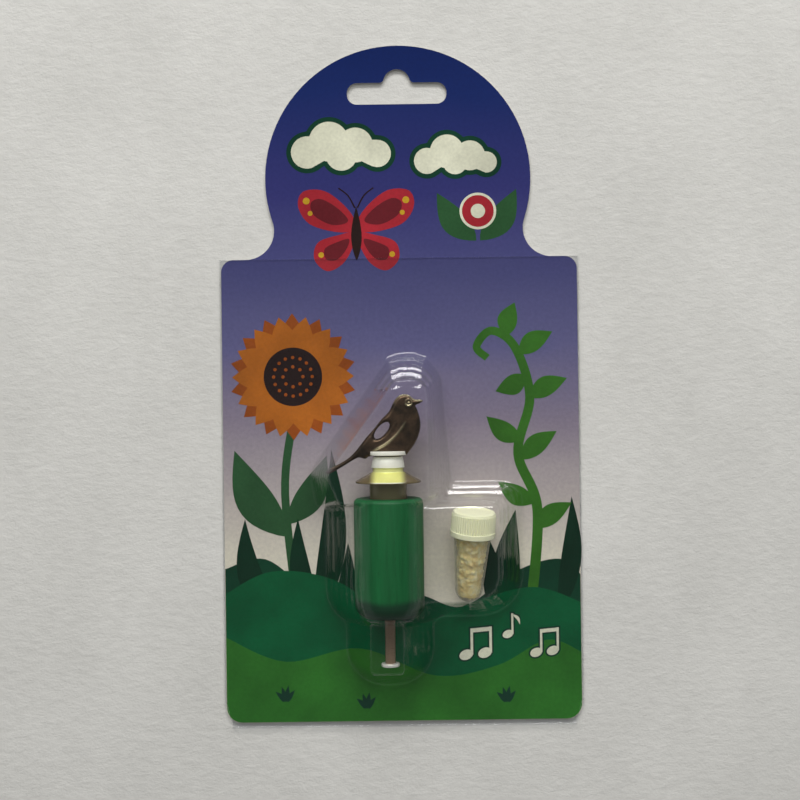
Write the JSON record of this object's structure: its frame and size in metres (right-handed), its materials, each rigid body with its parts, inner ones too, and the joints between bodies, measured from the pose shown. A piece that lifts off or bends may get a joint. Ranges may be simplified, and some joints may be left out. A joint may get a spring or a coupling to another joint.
{
  "type": "bird call in hanging pack",
  "caption": "Twist bird call with a bird-topped metal plug in a round wooden barrel, packed with a small rosin vial in a clear blister over a printed hanging card",
  "frame": {"origin": "middle of the pack's outline, on the surface that it lies on", "axes": "X across the pack, Y up the card towards the hanger slot, Z out of the pack's front"},
  "size_m": [0.1154, 0.2188, 0.0237],
  "materials": {
    "card": "glossy printed board",
    "clear_sheet": "clear glossy sheet",
    "green_wood": "satin paint on turned wood",
    "polished_metal": "polished",
    "steel": "bright",
    "antique_bronze": "dark patina with rubbed edges",
    "vial_plastic": "translucent",
    "rosin": "lumpy resin",
    "seal_foam": "soft foam",
    "cap_plastic": "natural translucent plastic"
  },
  "bodies": {
    "blister": {"blister_shell": "clear_sheet", "vial_body": "vial_plastic", "rosin_charge": "rosin"},
    "card": {"backing_card": "card"},
    "barrel": {"barrel": "green_wood"},
    "plug": {"flanged_plug": "polished_metal", "finial_stud": "steel", "bird_finial": "antique_bronze", "retaining_pin": "steel"},
    "cap_seal": {"cap_seal": "seal_foam"},
    "vial_cap": {"vial_cap": "cap_plastic"}
  },
  "joints": [
    {"name": "card_slide", "type": "slide", "parent": "blister", "child": "card", "axis": [0, 1, 0], "range_m": [0, 0.15]},
    {"name": "barrel_turn", "type": "hinge", "parent": "blister", "child": "barrel", "pos_m": [-0.0042, -0.0533, 0.01225], "axis": [0, 1, 0], "continuous": true},
    {"name": "plug_slide", "type": "slide", "parent": "blister", "child": "plug", "axis": [0, 1, 0], "range_m": [-0.0015, 0.001]},
    {"name": "cap_rise", "type": "slide", "parent": "blister", "child": "cap_seal", "axis": [0.0689, 0.9853, 0.1564], "range_m": [0, 0.003]},
    {"name": "cap_turn", "type": "hinge", "parent": "cap_seal", "child": "vial_cap", "pos_m": [0.0206, -0.0686, 0.00511], "axis": [0.0689, 0.9853, 0.1564], "range_deg": [0, 540]}
  ],
  "couplings": [
    {"joint": "cap_turn", "follows": "cap_rise", "rad_per_m": 3141.6}
  ]
}
